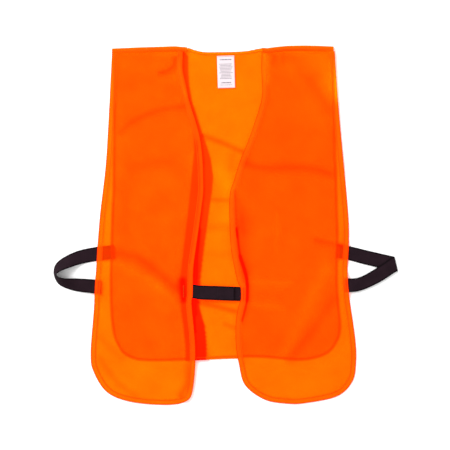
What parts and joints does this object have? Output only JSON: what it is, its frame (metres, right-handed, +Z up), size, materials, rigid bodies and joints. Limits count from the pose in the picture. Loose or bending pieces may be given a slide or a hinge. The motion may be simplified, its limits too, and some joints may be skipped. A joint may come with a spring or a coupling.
{
  "type": "high-visibility vest",
  "caption": "Sleeveless blaze orange vest lying flat, with an open front, a hook-and-loop closure strap and elastic side loops.",
  "frame": {"origin": "bottom centre of the whole vest's box as it lies flat on its back", "axes": "+X to the wearer's left, +Y to the shoulders, +Z up off the table, out of the vest's front"},
  "size_m": [0.6188, 0.6454, 0.0242],
  "materials": {
    "panel_cloth": "thin warp-knit polyester, see-through against light",
    "binding_cloth": "knit binding strip folded over the edge",
    "orange_thread": "spun polyester thread",
    "black_elastic": "ribbed woven elastic, matt",
    "black_webbing": "ribbed webbing, matt",
    "hook_tape": "stiff nylon hooks",
    "loop_tape": "napped nylon loops",
    "label_tape": "smooth woven ribbon, satin"
  },
  "bodies": {
    "back": {"back_panel": "panel_cloth", "back_edge_binding": "binding_cloth", "back_neck_binding": "binding_cloth", "right_shoulder_seam": "orange_thread", "left_shoulder_seam": "orange_thread", "right_side_elastic": "black_elastic", "left_side_elastic": "black_elastic", "right_elastic_back_tack": "orange_thread", "left_elastic_back_tack": "orange_thread", "care_label": "label_tape"},
    "right_front": {"right_front_panel": "panel_cloth", "right_front_binding": "binding_cloth", "right_elastic_front_tack": "orange_thread", "closure_strap_base": "black_webbing", "closure_strap_tack": "orange_thread"},
    "left_front": {"left_front_panel": "panel_cloth", "left_front_binding": "binding_cloth", "left_elastic_front_tack": "orange_thread", "closure_tab": "black_webbing", "closure_hook_patch": "hook_tape", "closure_tab_tack": "orange_thread"},
    "closure_strap": {"closure_strap": "black_webbing", "closure_loop_patch": "loop_tape"}
  },
  "joints": [
    {"name": "right_front_lift", "type": "hinge", "parent": "back", "child": "right_front", "pos_m": [0, 0.3189, 0.0038], "axis": [-1, 0, 0], "range_deg": [0, 50], "deforming": ["right_side_elastic"]},
    {"name": "left_front_lift", "type": "hinge", "parent": "back", "child": "left_front", "pos_m": [0, 0.3189, 0.0038], "axis": [-1, 0, 0], "range_deg": [0, 50], "deforming": ["left_side_elastic"]},
    {"name": "closure_peel", "type": "hinge", "parent": "right_front", "child": "closure_strap", "pos_m": [-0.0547, -0.1221, 0.00515], "axis": [0, -1, 0], "range_deg": [0, 120]}
  ],
  "couplings": [
    {"joint": "left_front_lift", "follows": "right_front_lift", "ratio": 1}
  ]
}
